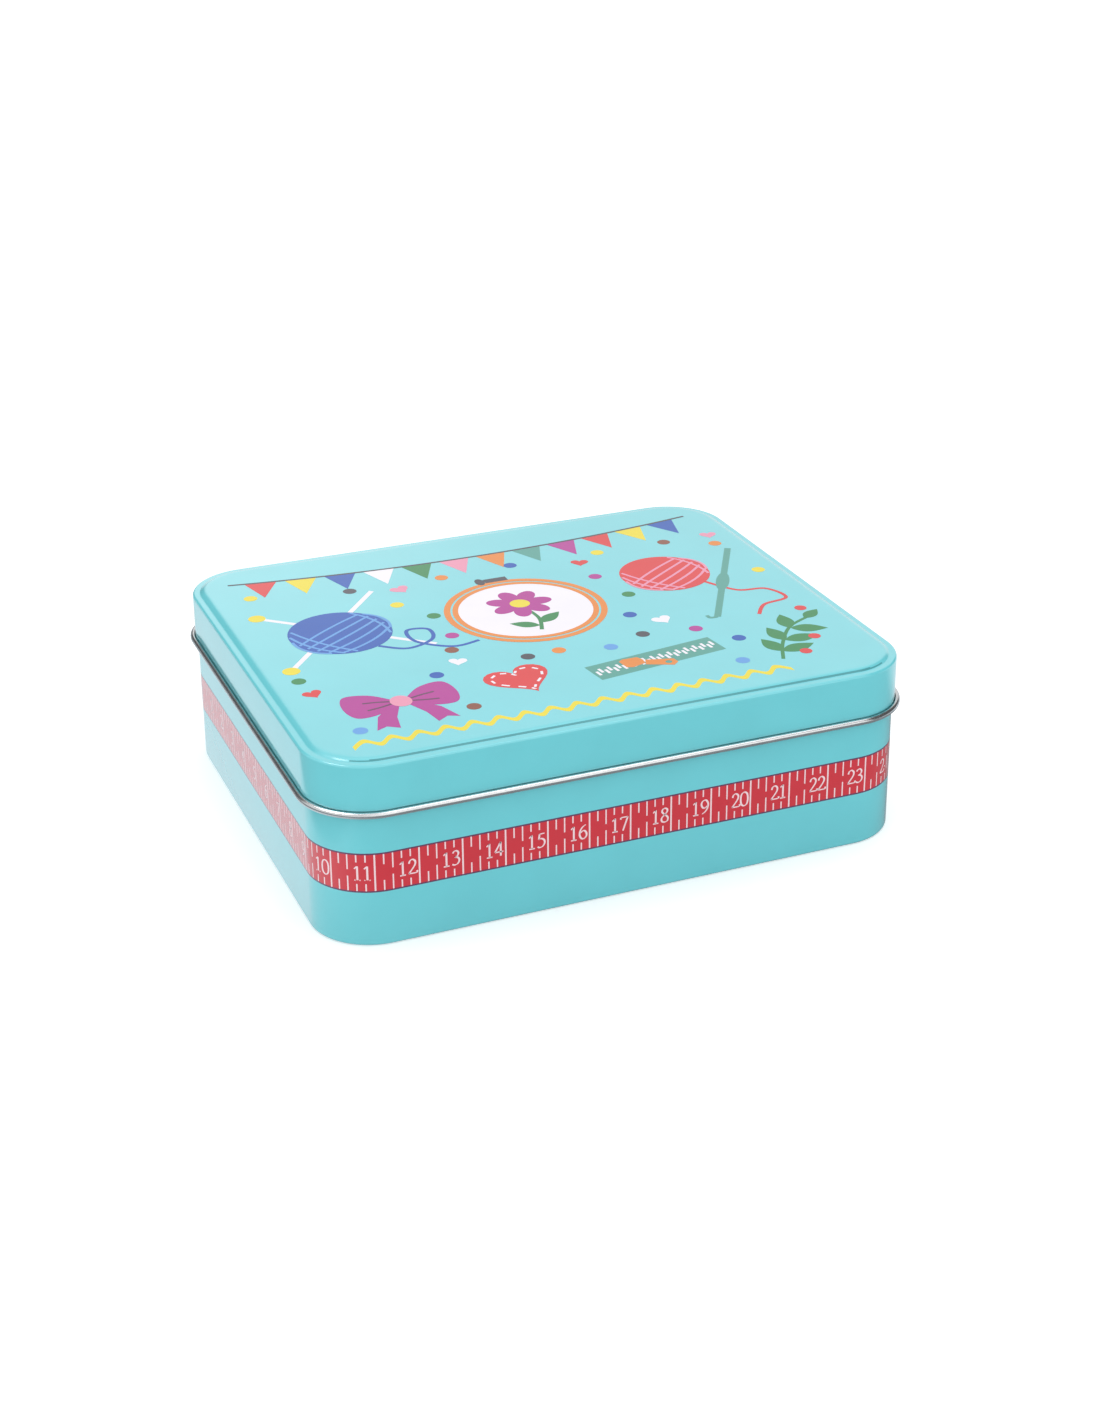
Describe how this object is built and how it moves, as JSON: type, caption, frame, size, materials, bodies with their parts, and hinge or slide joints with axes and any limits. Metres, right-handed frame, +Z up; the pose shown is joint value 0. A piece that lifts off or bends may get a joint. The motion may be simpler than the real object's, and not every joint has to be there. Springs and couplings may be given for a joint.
{
  "type": "sewing tin",
  "caption": "Flat rectangular tin with rounded corners and a lift-off lid, holding a sewing kit of scissors, threads, pins, needles and a rolled tape.",
  "frame": {"origin": "centre of the base, on the surface that the tin stands on", "axes": "+Z up, the long side along X, the front facing -Y"},
  "size_m": [0.1474, 0.1234, 0.0446],
  "materials": {
    "lacquered_tin": "glossy lacquer",
    "bare_tin": "bright tinplate",
    "steel": "polished steel",
    "red_plastic": "moulded plastic",
    "white_plastic": "moulded plastic",
    "clear_plastic": "clear plastic",
    "film": "thin clear film",
    "dark_plastic": "polished button",
    "red_foil": "embossed foil",
    "tape_cloth": "coated cloth",
    "thread_white": "cotton thread",
    "thread_black": "cotton thread",
    "thread_coral": "cotton thread",
    "thread_blue": "cotton thread",
    "thread_olive": "cotton thread",
    "thread_yellow": "cotton thread"
  },
  "bodies": {
    "tin": {"body_wall": "lacquered_tin", "base_panel": "bare_tin", "scissors_blade_lower": "steel", "scissors_handle_lower": "red_plastic", "scissors_rivet": "steel", "spool_core_white": "white_plastic", "spool_core_black": "white_plastic", "spool_core_coral": "white_plastic", "spool_core_blue": "white_plastic", "spool_core_olive": "white_plastic", "spool_core_yellow": "white_plastic", "spool_thread_white": "thread_white", "spool_thread_black": "thread_black", "spool_thread_coral": "thread_coral", "spool_thread_blue": "thread_blue", "spool_thread_olive": "thread_olive", "spool_thread_yellow": "thread_yellow", "thimble": "red_plastic", "ripper_handle": "red_plastic", "ripper_fork": "steel", "ripper_bead": "red_plastic", "tape_roll": "tape_cloth", "tape_clip": "steel", "wheel_disc": "white_plastic", "wheel_pins": "steel", "needle_case": "white_plastic", "needle_pad": "red_foil", "needle_fan": "steel", "safety_pin_1": "steel", "safety_pin_2": "steel", "safety_pin_3": "steel", "safety_pin_4": "steel", "safety_pin_5": "steel", "safety_pin_6": "steel", "safety_pin_7": "steel", "safety_pin_8": "steel", "safety_pin_9": "steel", "carrier_pin": "steel", "button_bag": "film", "button_1": "dark_plastic", "button_2": "dark_plastic", "button_3": "dark_plastic", "button_4": "dark_plastic", "button_5": "dark_plastic", "button_6": "dark_plastic", "press_stud_1": "white_plastic", "press_stud_2": "white_plastic", "press_stud_3": "white_plastic", "press_stud_4": "white_plastic"},
    "lid": {"lid": "lacquered_tin"},
    "scissors_upper_half": {"scissors_blade_upper": "steel", "scissors_handle_upper": "red_plastic"},
    "ripper_cap": {"ripper_cap": "clear_plastic"}
  },
  "joints": [
    {"name": "lid_lift", "type": "slide", "parent": "tin", "child": "lid", "axis": [0, 0, 1], "range_m": [0, 0.08]},
    {"name": "scissors_open", "type": "hinge", "parent": "tin", "child": "scissors_upper_half", "pos_m": [-0.0033, -0.0304, 0.0119], "axis": [0, 0, 1], "range_deg": [0, 30]},
    {"name": "ripper_cap_pull", "type": "slide", "parent": "tin", "child": "ripper_cap", "axis": [-1, 0, 0], "range_m": [0, 0.036]}
  ]
}
